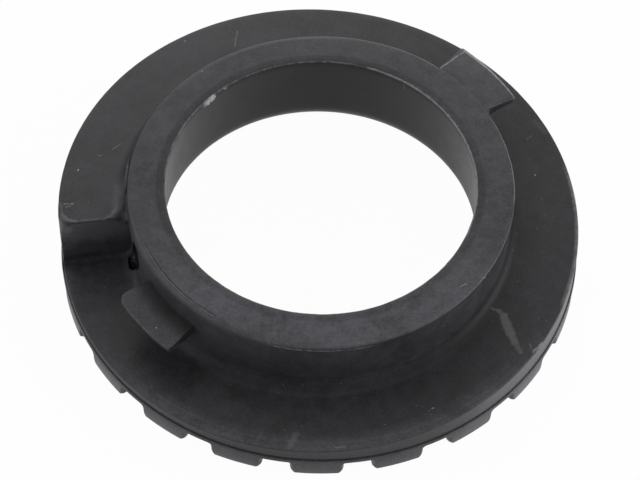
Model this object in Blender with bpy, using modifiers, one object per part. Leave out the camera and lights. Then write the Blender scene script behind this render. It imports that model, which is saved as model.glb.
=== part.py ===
# Coil spring spacer: one moulded rubber ring that sits between a coil spring and its seat.
# A tall collar centres the spring. The spring's last coil lies on a helical shelf around it,
# with its cut end against a step, and two lips on the collar keep the coil from lifting off.
# The ring stands on a circle of pads with open notches between them.
#
# Frame: metres, +Z up, origin on the bore's axis at the level of the pads' undersides.
# Azimuths are in degrees, counted anticlockwise from +X when seen from above.

import math

import bmesh
import bpy
from mathutils import Matrix, Vector

# Turned body
TOTAL_HEIGHT = 0.0320
BORE_TOP_RADIUS = 0.04405
BORE_FLARE = 0.00185
BORE_MOUTH_ROUND = 0.0090
COLLAR_WALL = 0.01095
COLLAR_RADIUS = BORE_TOP_RADIUS + COLLAR_WALL
COLLAR_EDGE_ROUND = 0.0013
BASE_WIDTH = 0.0207
BAND_RADIUS = COLLAR_RADIUS + BASE_WIDTH
BAND_HEIGHT = 0.0073

# Pads around the underside, and the notches between them
PAD_COUNT = 21
PAD_PROUD = 0.0004
PAD_HEIGHT = 0.0060
PAD_MIDDLE_AZIMUTH = -89.3
PAD_EDGE_ROUND = 0.0012
NOTCH_WIDTH = 0.0084
NOTCH_DEPTH = 0.0115
NOTCH_CORNER_ROUND = 0.0017

# Helical shelf for the spring's last coil
SHELF_LEDGE = 0.0004
SHELF_RIM_DRAFT = 1.9
SHELF_LOW = 0.00806
SHELF_RISE = 0.01788
SHELF_EDGE_ROUND = 0.0015
SHELF_FILLET = 0.0040

# Step that the cut end of the coil meets
STEP_AZIMUTH = 190.2
STEP_LEAN = 0.0003
STEP_TOP_ROUND = 0.0008
STEP_FOOT_ROUND = 0.0030
STEP_CORNER_ROUND = 0.0036

# Slot between the collar and the raised end of the shelf, and the pocket at its foot
SLOT_WIDTH = 0.0024
SLOT_DEPTH = 0.0016
SLOT_LENGTH = 0.0088
POCKET_HALF_SIZES = (0.0016, 0.0078, 0.0074)

# Lips that reach out over the coil, the first one level with the collar's top
LIP_AZIMUTHS = (40.5, 222.2)
LIP_REACH = 0.0102
LIP_SPREAD = 20.2
LIP_SINK = 0.00005
LIP_TIP_THICKNESS = 0.0022
LIP_ROOT_THICKNESS = 0.0042
LIP_CORNER_ROUND = 0.0016

# How finely the round shapes are divided
FACETS_PER_PAD = 4
ROUND_FACETS = 3
LARGE_ROUND_FACETS = 6
SLOT_FACETS = 4
POCKET_FACETS_ROUND = 12
POCKET_FACETS_UP = 8
LEAST_LIP_FACETS = 2
CIRCULAR_PROFILE = 0.5
TURN_FACETS = PAD_COUNT * FACETS_PER_PAD

# How far joined shapes reach into each other, and how far cutters reach past a surface
OVERLAP = 0.0020
CLEAR = 0.0030
TANGENT_OVERLAP = 0.00015
MERGE_DISTANCE = 0.00001

# Finish; edges that turn by more than the angle, in degrees, are shaded sharp
RUBBER_COLOUR = (0.055, 0.056, 0.060, 1.0)
RUBBER_ROUGHNESS = 0.62
SHARP_ANGLE = 30


def clear_scene():
    for old in list(bpy.data.objects):
        bpy.data.objects.remove(old, do_unlink=True)


def make_collection(name):
    collection = bpy.data.collections.new(name)
    bpy.context.scene.collection.children.link(collection)
    return collection


def rubber_material():
    material = bpy.data.materials.new("black_rubber")
    material.use_nodes = True
    shader = material.node_tree.nodes["Principled BSDF"]
    shader.inputs["Base Color"].default_value = RUBBER_COLOUR
    shader.inputs["Roughness"].default_value = RUBBER_ROUGHNESS
    shader.inputs["Metallic"].default_value = 0.0
    return material


def arc(centre, radius, start, end, facets=ROUND_FACETS):
    """Points on an arc in a plane, angles in degrees, both ends included."""
    points = []
    for i in range(facets + 1):
        angle = math.radians(start + (end - start) * i / facets)
        points.append((centre[0] + radius * math.cos(angle), centre[1] + radius * math.sin(angle)))
    return points


def polar(radius, azimuth, height):
    angle = math.radians(azimuth)
    return Vector((radius * math.cos(angle), radius * math.sin(angle), height))


def degrees_along(length, radius):
    return math.degrees(length / radius)


def shelf_height(azimuth):
    """Level of the shelf: it climbs one rise in the turn that ends at the step."""
    turn = ((azimuth - STEP_AZIMUTH) % 360) / 360
    return SHELF_LOW + SHELF_RISE * turn


def rim_radius(height):
    """Outer radius of the shelf's rim, which leans in from the base by its draft."""
    lean = math.tan(math.radians(SHELF_RIM_DRAFT))
    return BAND_RADIUS - SHELF_LEDGE - (height - BAND_HEIGHT) * lean


def lip_lift():
    """How far the lips' tops lie above the shelf: the first lip is level with the collar."""
    return TOTAL_HEIGHT - LIP_SINK - shelf_height(LIP_AZIMUTHS[0])


def object_from_bmesh(name, shape, collection):
    bmesh.ops.recalc_face_normals(shape, faces=shape.faces)
    mesh = bpy.data.meshes.new(name)
    shape.to_mesh(mesh)
    shape.free()
    made = bpy.data.objects.new(name, mesh)
    collection.objects.link(made)
    return made


def apply_modifiers(target):
    depsgraph = bpy.context.evaluated_depsgraph_get()
    applied = bpy.data.meshes.new_from_object(target.evaluated_get(depsgraph))
    target.modifiers.clear()
    target.data = applied


def turned_profile():
    """Half section of the turned body, down its outer side and back up the bore."""
    r = COLLAR_EDGE_ROUND
    points = arc((COLLAR_RADIUS - r, TOTAL_HEIGHT - r), r, 90, 0)
    points += [(COLLAR_RADIUS, BAND_HEIGHT), (BAND_RADIUS, BAND_HEIGHT)]
    pad_radius = BAND_RADIUS + PAD_PROUD
    points += [(BAND_RADIUS, PAD_HEIGHT), (pad_radius, PAD_HEIGHT - PAD_PROUD)]
    points += arc((pad_radius - PAD_EDGE_ROUND, PAD_EDGE_ROUND), PAD_EDGE_ROUND, 0, -90)
    mouth = (BORE_TOP_RADIUS + BORE_FLARE + BORE_MOUTH_ROUND, BORE_MOUTH_ROUND)
    points += arc(mouth, BORE_MOUTH_ROUND, 270, 180, LARGE_ROUND_FACETS)
    points.append((BORE_TOP_RADIUS, TOTAL_HEIGHT))
    return points


def turned_body(collection):
    """Collar and base band: a closed profile turned about Z."""
    profile = turned_profile()
    mesh = bpy.data.meshes.new("spring_spacer")
    edges = [(i, (i + 1) % len(profile)) for i in range(len(profile))]
    mesh.from_pydata([(x, 0.0, z) for x, z in profile], edges, [])
    body = bpy.data.objects.new("spring_spacer", mesh)
    collection.objects.link(body)
    turn = body.modifiers.new("turn", "SCREW")
    turn.axis = "Z"
    turn.angle = math.radians(360)
    turn.steps = TURN_FACETS
    turn.render_steps = TURN_FACETS
    turn.use_merge_vertices = True
    turn.merge_threshold = MERGE_DISTANCE
    return body


def add_ring(shape, section, azimuth):
    return [shape.verts.new(polar(r, azimuth, z)) for r, z in section]


def loft(shape, rings, closed):
    """Join rings of points into one solid, closed on itself or capped at both ends."""
    following = rings[1:] + rings[:1] if closed else rings[1:]
    for here, after in zip(rings, following):
        for i in range(len(here)):
            j = (i + 1) % len(here)
            shape.faces.new((here[i], here[j], after[j], after[i]))
    if not closed:
        shape.faces.new(rings[0])
        shape.faces.new(rings[-1])


def shelf_section(height, inset):
    """Radial section of the shelf: from inside the collar, over the seat, to inside the base."""
    inner = COLLAR_RADIUS - OVERLAP
    floor = BAND_HEIGHT - OVERLAP
    rim = rim_radius(height) - inset
    fillet_middle = (COLLAR_RADIUS - TANGENT_OVERLAP + SHELF_FILLET, height + SHELF_FILLET)
    edge_middle = (rim - SHELF_EDGE_ROUND, height - SHELF_EDGE_ROUND)
    points = [(inner, floor), (inner, height + SHELF_FILLET)]
    points += arc(fillet_middle, SHELF_FILLET, 180, 270)
    points += arc(edge_middle, SHELF_EDGE_ROUND, 90, 0)
    points.append((rim_radius(BAND_HEIGHT), floor))
    return points


def shelf_stations():
    """Azimuth, level and rim inset of each section, once round from the foot of the step."""
    high = SHELF_LOW + SHELF_RISE
    outer = rim_radius(high)
    middle = (COLLAR_RADIUS + outer) / 2
    foot_span = degrees_along(STEP_FOOT_ROUND, middle)
    top_span = degrees_along(STEP_TOP_ROUND, outer)
    corner_span = degrees_along(STEP_CORNER_ROUND, outer)
    wall = STEP_AZIMUTH - 360 + degrees_along(STEP_LEAN, middle)
    stations = []
    for along, up in arc((1, 1), 1, 180, 270):
        azimuth = wall + foot_span * along
        stations.append((azimuth, shelf_height(azimuth) + STEP_FOOT_ROUND * up, 0.0))
    start = wall + foot_span
    end = STEP_AZIMUTH - corner_span
    for i in range(1, TURN_FACETS + 1):
        azimuth = start + (end - start) * i / TURN_FACETS
        stations.append((azimuth, shelf_height(azimuth), 0.0))
    for along, out in arc((0, 0), 1, 90, 0, LARGE_ROUND_FACETS)[1:]:
        azimuth = end + corner_span * along
        past = max(0.0, azimuth - STEP_AZIMUTH + top_span) / top_span
        drop = STEP_TOP_ROUND * (1 - math.sqrt(1 - past ** 2))
        stations.append((azimuth, high - drop, STEP_CORNER_ROUND * (1 - out)))
    return stations


def helical_shelf(collection):
    """Loft through the shelf's sections, closed on itself at the step."""
    shape = bmesh.new()
    rings = [add_ring(shape, shelf_section(z, inset), azimuth) for azimuth, z, inset in shelf_stations()]
    loft(shape, rings, closed=True)
    bmesh.ops.triangulate(shape, faces=shape.faces)
    return object_from_bmesh("shelf", shape, collection)


def lip(azimuth, collection):
    """A lip over the coil: its radial section carried about Z through the lip's spread."""
    top = shelf_height(azimuth) + lip_lift()
    inner = COLLAR_RADIUS - OVERLAP
    tip = COLLAR_RADIUS + LIP_REACH
    section = [(inner, top), (inner, top - LIP_ROOT_THICKNESS), (tip, top - LIP_TIP_THICKNESS), (tip, top)]
    start = azimuth - LIP_SPREAD / 2
    facets = max(LEAST_LIP_FACETS, round(LIP_SPREAD / 360 * TURN_FACETS))
    shape = bmesh.new()
    rings = [add_ring(shape, section, start + LIP_SPREAD * i / facets) for i in range(facets + 1)]
    loft(shape, rings, closed=False)
    corners = [shape.edges.get((ring[2], ring[3])) for ring in (rings[0], rings[-1])]
    bmesh.ops.bevel(shape, geom=corners, offset=LIP_CORNER_ROUND, segments=ROUND_FACETS,
                    profile=CIRCULAR_PROFILE, affect="EDGES")
    return object_from_bmesh("lip", shape, collection)


def notch_cutters(collection):
    """One open notch under the rim, its mouth flared by the pads' rounded corners, repeated."""
    half = NOTCH_WIDTH / 2
    r = NOTCH_CORNER_ROUND
    right = arc((half + r, r), r, 270, 180)
    outline = [(half + r, -CLEAR)] + right + [(half, PAD_HEIGHT)]
    outline += [(-x, z) for x, z in reversed(outline)]
    outer = BAND_RADIUS + PAD_PROUD + CLEAR
    inner = outer - CLEAR - NOTCH_DEPTH
    shape = bmesh.new()
    for k in range(PAD_COUNT):
        turn = Matrix.Rotation(math.radians(PAD_MIDDLE_AZIMUTH + 360 / PAD_COUNT * (k + 0.5)), 4, "Z")
        near = [shape.verts.new(turn @ Vector((inner, x, z))) for x, z in outline]
        face = shape.faces.new(near)
        grown = bmesh.ops.extrude_face_region(shape, geom=[face])
        moved = [item for item in grown["geom"] if isinstance(item, bmesh.types.BMVert)]
        bmesh.ops.translate(shape, verts=moved, vec=turn @ Vector((outer - inner, 0, 0)))
    return object_from_bmesh("notches", shape, collection)


def slot_cutter(collection):
    """Shallow slot that parts the shelf's raised end from the collar, deepest at the step."""
    level = SHELF_LOW + SHELF_RISE
    length = degrees_along(SLOT_LENGTH, COLLAR_RADIUS)
    past = degrees_along(CLEAR, COLLAR_RADIUS)
    inner = COLLAR_RADIUS + TANGENT_OVERLAP
    outer = inner + SLOT_WIDTH
    top = level + SHELF_FILLET + CLEAR
    shape = bmesh.new()
    rings = []
    for i in range(SLOT_FACETS + 1):
        share = i / SLOT_FACETS
        floor = level - SLOT_DEPTH * share
        section = [(inner, floor), (outer, floor), (outer, top), (inner, top)]
        rings.append(add_ring(shape, section, STEP_AZIMUTH - length + (length + past) * share))
    loft(shape, rings, closed=False)
    return object_from_bmesh("slot", shape, collection)


def pocket_cutter(collection):
    """Dark pocket at the foot of the step, against the collar."""
    shape = bmesh.new()
    bmesh.ops.create_uvsphere(shape, u_segments=POCKET_FACETS_ROUND, v_segments=POCKET_FACETS_UP, radius=1.0)
    radial, along, up = POCKET_HALF_SIZES
    place = Matrix.Translation(polar(COLLAR_RADIUS, STEP_AZIMUTH, SHELF_LOW))
    turn = Matrix.Rotation(math.radians(STEP_AZIMUTH), 4, "Z")
    size = Matrix.Diagonal((radial, along, up, 1.0))
    bmesh.ops.transform(shape, matrix=place @ turn @ size, verts=shape.verts)
    return object_from_bmesh("pocket", shape, collection)


def combine(body, tool, operation):
    step = body.modifiers.new(tool.name, "BOOLEAN")
    step.operation = operation
    step.solver = "EXACT"
    step.object = tool
    tool.hide_render = True
    tool.display_type = "WIRE"


def build():
    clear_scene()
    parts = make_collection("coil_spring_spacer")
    tools = make_collection("cutters")
    body = turned_body(parts)
    combine(body, helical_shelf(tools), "UNION")
    for azimuth in LIP_AZIMUTHS:
        combine(body, lip(azimuth, tools), "UNION")
    combine(body, notch_cutters(tools), "DIFFERENCE")
    combine(body, slot_cutter(tools), "DIFFERENCE")
    combine(body, pocket_cutter(tools), "DIFFERENCE")
    bpy.context.view_layer.update()
    apply_modifiers(body)
    body.data.materials.clear()
    body.data.materials.append(rubber_material())
    body.data.shade_smooth()
    body.data.set_sharp_from_angle(angle=math.radians(SHARP_ANGLE))


build()
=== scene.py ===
# Looks of the coil spring spacer: one black rubber moulding on a plain pale floor
import math

import bmesh
import bpy
from mathutils import Matrix, Vector, noise


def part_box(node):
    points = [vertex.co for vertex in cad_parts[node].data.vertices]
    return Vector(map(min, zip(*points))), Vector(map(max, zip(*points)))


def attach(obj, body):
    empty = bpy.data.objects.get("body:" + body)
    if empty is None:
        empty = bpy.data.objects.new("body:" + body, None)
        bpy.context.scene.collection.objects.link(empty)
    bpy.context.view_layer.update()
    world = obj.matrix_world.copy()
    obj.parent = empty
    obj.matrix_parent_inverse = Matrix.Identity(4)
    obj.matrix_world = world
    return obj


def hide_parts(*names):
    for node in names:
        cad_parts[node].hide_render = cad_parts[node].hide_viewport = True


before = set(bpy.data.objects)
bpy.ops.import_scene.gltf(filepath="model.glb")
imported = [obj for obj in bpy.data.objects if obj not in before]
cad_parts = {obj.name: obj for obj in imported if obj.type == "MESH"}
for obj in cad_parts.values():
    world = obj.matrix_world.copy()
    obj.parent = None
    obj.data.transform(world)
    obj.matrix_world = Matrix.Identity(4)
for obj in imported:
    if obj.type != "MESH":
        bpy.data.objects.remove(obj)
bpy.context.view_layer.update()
cadLow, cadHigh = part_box("spring_spacer")
mm = 0.001  # every size below is written in millimetres


# The moulding: a collar, a helical shelf that climbs once round it, and a base (millimetres)
moulding = {
    "height": cadHigh[2] / mm,
    "boreTop": 44.05,
    "boreFoot": 46.62,
    "boreMouth": 8.3,
    "boreEdge": 0.3,
    "collar": 55.0,
    "shoulder": 1.5,
    "shoulderRound": 1.25,  # the shoulder's round is scaled by this on the left
    "shoulderCrisp": 0.35,  # and by this on the right
    "crispTurn": 97,  # degrees by which left and right are turned, then how steeply and where one fades
    "crispFade": 1.6,
    "crispMiddle": 0.15,
    "fillet": 4.0,
    "filletFacets": 12,
    "rimEdge": 0.45,
    "rimRoom": 0.3,  # height the rim's round needs below it before it has its full size
    "bandTop": 7.3,
    "band": 75.7,
    "ledge": 0.4,
    "groove": 0.35,
    "grooveHeight": 0.45,
    "grooveWave": 0.1,
    "padTop": 4.5,
    "pad": 76.03,
    "padEdge": 1.0,
    "rimDraft": math.tan(math.radians(1.9)),
    "shelfLow": 8.06,
    "shelfRise": 17.88,
    "stepAzimuth": 190.2,
    "stepCorner": 3.6,
    "cornerTaper": 7.5,  # how far down the step's round corner narrows
    "cornerFoot": 0.06,  # the share of it that is left below that
    "cornerRise": (0.5, 2.5),  # it starts this far above the band and is whole after this height
    "stepTop": 0.5,
    "stepFoot": 1.5,
    "stepLean": 0.3,
    "turnRings": 480,
    "cornerRings": 10,
    "wallRings": 16,
    "footRings": 7,
    "waviness": 0.05,
    "waveSizes": (7, 9, 11),  # along the radius, the height and the azimuth
    "edgeWave": 0.10,
    "boreWave": 0.7,  # the share of it that the bore's top edge has, down to this depth:
    "boreWaveDeep": 1.2,
    "ripples": {"collar": (5, 2), "rim": (2.5, 9), "bore": (5, 4), "groove": (4, 12)},  # length and seed
    "gutter": 58.2,  # radius where the top of the step falls away towards the collar
    "gutterStart": 181.5,
    "gutterAhead": 3,  # degrees ahead of its start where it begins, and how many it takes to be whole
    "gutterFade": 4,
    "gutterRound": 4.0,
    "gutterSoft": 4.0,
    "gutterShallow": 0.7,
    "gutterDeep": 1.5,
    "gutterDeepens": 8.0,  # over this length before the step
    "filletSinks": (0.8, 0.5),  # where it is this deep, the collar's fillet loses this share
    "noseLong": 2.7,  # the step's edge is well rounded beside the collar
    "noseDeep": 2.2,
    "noseFade": (1, 3),  # from this far outside the gutter's edge, over this width
}
highShelf = moulding["shelfLow"] + moulding["shelfRise"]


def deselectAll():
    if bpy.context.object and bpy.context.object.mode != "OBJECT":
        bpy.ops.object.mode_set(mode="OBJECT")
    bpy.ops.object.select_all(action="DESELECT")


def editMode(piece):
    deselectAll()
    piece.select_set(True)
    bpy.context.view_layer.objects.active = piece
    bpy.ops.object.mode_set(mode="EDIT")


def pick(piece, test, kind="VERT"):  # in edit mode: selects what passes a test of its place
    shape = bmesh.from_edit_mesh(piece.data)
    shape.select_mode = {kind}
    for vert in shape.verts:
        vert.select_set(False)
    shape.select_flush(False)
    if kind == "VERT":
        for vert in shape.verts:
            vert.select_set(bool(test(vert.co / mm)))
    else:
        for edge in shape.edges:
            if all(test(vert.co / mm) for vert in edge.verts):
                edge.select_set(True)
    shape.select_flush_mode()
    bmesh.update_edit_mesh(piece.data)


def near(point, *place):
    return all(abs(a - b) < 0.02 for a, b in zip(point, place))


def applyModifiers(piece):
    deselectAll()
    piece.select_set(True)
    bpy.context.view_layer.objects.active = piece
    for modifier in list(piece.modifiers):
        bpy.ops.object.modifier_apply(modifier=modifier.name)


def polar(radius, azimuth, height):
    angle = math.radians(azimuth)
    return Vector((radius * math.cos(angle), radius * math.sin(angle), height)) * mm


def shelfLevel(azimuth):
    turn = ((azimuth - moulding["stepAzimuth"]) % 360) / 360
    return moulding["shelfLow"] + moulding["shelfRise"] * turn


def rimRadius(level):
    return moulding["band"] - moulding["ledge"] - (level - moulding["bandTop"]) * moulding["rimDraft"]


def sectionCorners():  # the section's corners, clockwise from the bore's top edge, each with its round
    m = moulding
    top, foot = m["height"], m["bandTop"]
    return [
        (m["boreTop"], top, m["boreEdge"], 3),
        (m["collar"], top, m["shoulder"], 6),
        (m["collar"], highShelf, m["fillet"], m["filletFacets"]),
        (rimRadius(highShelf), highShelf, m["rimEdge"], 6),
        (rimRadius(foot), foot + m["grooveHeight"]),
        (rimRadius(foot) - m["groove"], foot + m["grooveHeight"] - 0.15),
        (rimRadius(foot) - m["groove"], foot + 0.1),
        (m["band"], foot - 0.05, 0.15, 2),
        (m["pad"], m["padTop"], 1.5, 3),
        (m["pad"], 0, m["padEdge"], 5),
        (m["boreFoot"], 0, m["boreMouth"], 12),
    ]


def drawOutline(name, corners, place):  # one vertex, extruded from corner to corner, closed and rounded
    deselectAll()
    bpy.ops.mesh.primitive_plane_add(size=0.01)
    piece = bpy.context.object
    piece.name = name
    bpy.ops.object.mode_set(mode="EDIT")
    bpy.ops.mesh.merge(type="CENTER")
    points = [place(corner[0], corner[1]) * mm for corner in corners]
    bpy.ops.transform.translate(value=points[0])
    for here, there in zip(points, points[1:]):
        bpy.ops.mesh.extrude_region_move(TRANSFORM_OT_translate={"value": there - here})
    bpy.ops.mesh.select_all(action="SELECT")
    bpy.ops.mesh.edge_face_add()
    for corner in corners:
        if len(corner) > 2:
            pick(piece, lambda p: near(p, *place(corner[0], corner[1])))
            size, segments = corner[2] * mm, corner[3]
            bpy.ops.mesh.bevel(offset=size, segments=segments, affect="VERTICES", clamp_overlap=False)
    return piece


def drawSection():  # left in edit mode as a closed line, ready to spin
    piece = drawOutline("springSpacerRubber", sectionCorners(), lambda r, z: Vector((r, 0, z)))
    bpy.ops.mesh.select_all(action="SELECT")
    bpy.ops.mesh.delete(type="ONLY_FACE")
    m = moulding
    base = m["bandTop"] + m["grooveHeight"] - 0.01
    stretches = [  # long straight stretches that get points of their own
        (lambda p: p[2] > m["height"] - 0.01, 7),
        (lambda p: abs(p[2] - highShelf) < 0.01 and p[0] > m["collar"] + 3, 12),
        (lambda p: p[0] < m["boreFoot"] and 8 < p[2] < m["height"] - 0.1, 9),
        (lambda p: p[0] > m["collar"] + 3 and base < p[2] < highShelf - m["rimEdge"] + 0.05, 11),
    ]
    for test, cuts in stretches:
        pick(piece, test, "EDGE")
        bpy.ops.mesh.subdivide(number_cuts=cuts)
    return piece


def stepStations():  # for every ring from the step's foot: azimuth, shelf level, share of the step's corner
    m = moulding
    outer = rimRadius(highShelf)
    middle = (m["collar"] + outer) / 2
    footSpan = math.degrees(m["stepFoot"] / middle)
    cornerSpan = math.degrees(m["stepCorner"] / outer)
    topSpan = math.degrees(m["stepTop"] / outer)
    wall = m["stepAzimuth"] - 360 + math.degrees(m["stepLean"] / middle)
    stations = []
    for i in range(m["footRings"]):
        angle = math.radians(90 * i / m["footRings"])
        azimuth = wall + footSpan * (1 - math.cos(angle))
        stations.append((azimuth, shelfLevel(azimuth) + m["stepFoot"] * (1 - math.sin(angle)), 1))
    start, end = wall + footSpan, m["stepAzimuth"] - cornerSpan
    for i in range(m["turnRings"]):
        azimuth = start + (end - start) * i / m["turnRings"]
        stations.append((azimuth, shelfLevel(azimuth), 0))
    for i in range(m["cornerRings"]):
        angle = math.radians(90 * i / m["cornerRings"])
        azimuth = end + cornerSpan * math.sin(angle)
        past = max(0, azimuth - m["stepAzimuth"] + topSpan) / topSpan
        drop = m["stepTop"] * (1 - math.sqrt(1 - past**2))
        drop += m["shelfRise"] * (m["stepAzimuth"] - azimuth) / 360
        stations.append((azimuth, highShelf - drop, 1 - math.cos(angle)))
    low, high = m["shelfLow"] + m["stepFoot"], highShelf - m["stepTop"]
    for i in range(m["wallRings"]):
        share = i / m["wallRings"]
        azimuth = m["stepAzimuth"] + (wall + 360 - m["stepAzimuth"]) * share
        stations.append((azimuth, high + (low - high) * share, 1))
    return stations


def cornerInset(level, corner):  # how far the step's round corner draws the rim in, most at its top
    m = moulding
    share = max(0, 1 - (highShelf - level) / m["cornerTaper"])
    inset = m["stepCorner"] * corner * (m["cornerFoot"] + (1 - m["cornerFoot"]) * share**2)
    start, rise = m["cornerRise"]
    return inset * smooth((level - m["bandTop"] - start) / rise)


def roundShare(azimuth):  # 1 where the collar's shoulder is well rounded, on the left, 0 where it is crisp
    across = math.sin(math.radians(azimuth + moulding["crispTurn"]))
    return min(1, max(0, 0.5 - moulding["crispFade"] * (across - moulding["crispMiddle"])))


def smooth(share):
    share = min(1, max(0, share))
    return share * share * (3 - 2 * share)


def ripple(azimuth, size, seed):  # an uneven edge: about -1 to 1 along the way round
    place = polar(1 / size / mm, azimuth, 0) * 60
    finer = noise.noise(place * 3 + Vector((0, 0, seed + 5)))
    return noise.noise(place + Vector((0, 0, seed))) + 0.5 * finer


def gutterFall(radius, azimuth):  # how far the top of the step has fallen at a place beside the collar
    m = moulding
    azimuth = (azimuth - m["stepAzimuth"] + 180) % 360 - 180 + m["stepAzimuth"]
    if not m["gutterStart"] - m["gutterAhead"] < azimuth < m["stepAzimuth"] + m["gutterAhead"]:
        return 0
    behind = math.radians(max(0, m["stepAzimuth"] - azimuth)) * radius
    across = radius - m["gutter"]
    corner = (max(0, m["gutterRound"] - behind), max(0, m["gutterRound"] - across))
    outside = math.hypot(*corner) - m["gutterRound"] if min(corner) > 0 else -across
    start = smooth((azimuth - m["gutterStart"] + m["gutterAhead"]) / m["gutterFade"])
    deepening = (m["gutterDeep"] - m["gutterShallow"]) * smooth(1 - behind / m["gutterDeepens"])
    deep = start * (m["gutterShallow"] + deepening)
    nose = 1 - math.sqrt(1 - max(0, 1 - behind / m["noseLong"]) ** 2)
    beyond, width = m["noseFade"]
    nose *= m["noseDeep"] * smooth((m["gutter"] + beyond - radius) / width)
    return deep * smooth(outside / m["gutterSoft"]) + nose


def settle(radius, level, station):  # where a point of the section lies at one station
    m = moulding
    azimuth, shelf, corner = station
    base = m["bandTop"] + m["grooveHeight"]
    long, tall, around = m["waveSizes"]
    wave = m["waviness"] * noise.noise(Vector((radius / long, level / tall, azimuth / around)))
    if level > m["height"] - m["shoulder"] - 0.05 and radius > m["collar"] - m["shoulder"] - 0.05:
        crisp = 1 - roundShare(azimuth)
        grow = m["shoulderRound"] + (m["shoulderCrisp"] - m["shoulderRound"]) * crisp
        uneven = m["edgeWave"] * ripple(azimuth, *m["ripples"]["collar"]) * crisp * (radius > m["collar"] - 1)
        radius = m["collar"] - (m["collar"] - radius) * grow + min(0, uneven)
        return radius, m["height"] - (m["height"] - level) * grow
    if level > base + 0.05 and radius > m["collar"] - 0.01:
        above = level - highShelf
        edge = m["rimEdge"] * min(1, (shelf - base) / (m["rimEdge"] + m["rimRoom"]))
        inset = cornerInset(shelf, corner)
        if radius > rimRadius(highShelf) - m["rimEdge"] - 0.02:
            if above < -m["rimEdge"] - 0.02:
                level = base + (level - base) * (shelf - edge - base) / (highShelf - m["rimEdge"] - base)
                return rimRadius(level) - cornerInset(level, corner), level
            back = (rimRadius(highShelf) - radius) * edge / m["rimEdge"]
            uneven = 0.5 * m["edgeWave"] * ripple(azimuth, *m["ripples"]["rim"])
            return rimRadius(shelf) - inset - back + min(0, uneven), shelf + above * edge / m["rimEdge"]
        stepShare = smooth((shelf - m["shelfLow"]) / (highShelf - m["shelfLow"]))
        flatStart = m["collar"] + m["fillet"]
        if radius > flatStart:
            was = rimRadius(highShelf) - m["rimEdge"] - flatStart
            now = rimRadius(shelf) - inset - edge - flatStart
            placed = flatStart + (radius - flatStart) * now / was
            return placed, shelf + wave - gutterFall(placed, azimuth) * stepShare
        fall = gutterFall(radius, azimuth) * stepShare
        deep, lost = m["filletSinks"]
        steep = min(1, fall / deep)
        return radius, shelf + above * (1 - lost * steep) - fall
    if radius < m["boreFoot"] and level > m["boreMouth"] + 1:
        nearTop = smooth((level - m["height"] + m["boreWaveDeep"]) / m["boreWaveDeep"])
        rough = m["edgeWave"] * ripple(azimuth, *m["ripples"]["bore"]) * nearTop
        return radius + wave - rough * m["boreWave"], level
    if m["bandTop"] < level < base + 0.05 and radius > m["collar"]:
        return radius, level + m["grooveWave"] * ripple(azimuth, *m["ripples"]["groove"])
    return radius, level


def spinMoulding(piece):  # the section is spun round, then each ring is set on its station
    stations = stepStations()
    steps = len(stations)
    editMode(piece)
    bpy.ops.mesh.select_all(action="SELECT")
    bpy.ops.mesh.spin(steps=steps, angle=math.tau, center=(0, 0, 0), axis=(0, 0, 1), use_auto_merge=True)
    bpy.ops.mesh.select_all(action="SELECT")
    bpy.ops.mesh.remove_doubles(threshold=0.00001)
    bpy.ops.object.mode_set(mode="OBJECT")
    for vert in piece.data.vertices:
        radius = math.hypot(vert.co.x, vert.co.y) / mm
        ring = round(math.atan2(vert.co.y, vert.co.x) / math.tau * steps) % steps
        station = stations[ring]
        radius, level = settle(radius, vert.co.z / mm, station)
        vert.co = polar(radius, station[0], level)
    editMode(piece)
    bpy.ops.mesh.select_all(action="SELECT")
    bpy.ops.mesh.normals_make_consistent(inside=False)
    bpy.ops.object.mode_set(mode="OBJECT")


# Lips that hold the coil down: a flat bar bent round the collar, thicker at its root
lips = [
    {
        "name": "upperLip",
        "azimuth": 40.55,
        "spread": 21.3,
        "top": 31.97,
        "tilt": 0,
        "rootEnds": (0, 2.2),
        "corners": (0.8, 0.35),
        "hook": 0.3,
        "reach": 10.4,
        "skew": 0.35,
        "tip": 1.8,
        "root": 3.2,
    },
    {
        "name": "lowerLip",
        "azimuth": 221.9,
        "spread": 20.6,
        "top": 23.1,
        "tilt": 0.8,
        "rootEnds": (0, 0),
        "corners": (0.8, 2.8),
        "hook": 0,
        "reach": 10.0,
        "skew": 0,
        "tip": 2.2,
        "root": 3.6,
    },
]
lipSizes = {
    "inside": 1.6,
    "topEdge": 0.35,
    "footEdge": 0.6,
    "rootFoot": 1.5,
    "rootCuts": 9,
    "bendCuts": 34,
    "hookFrom": 0.93,  # share of the lip's half length where its end starts to hook down
}


def coveRise(reach, size):  # height of a concave round of a size, at a distance from its wall
    past = min(size, size - reach)
    return size - math.sqrt(size**2 - past**2) if past > 0 else 0


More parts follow.
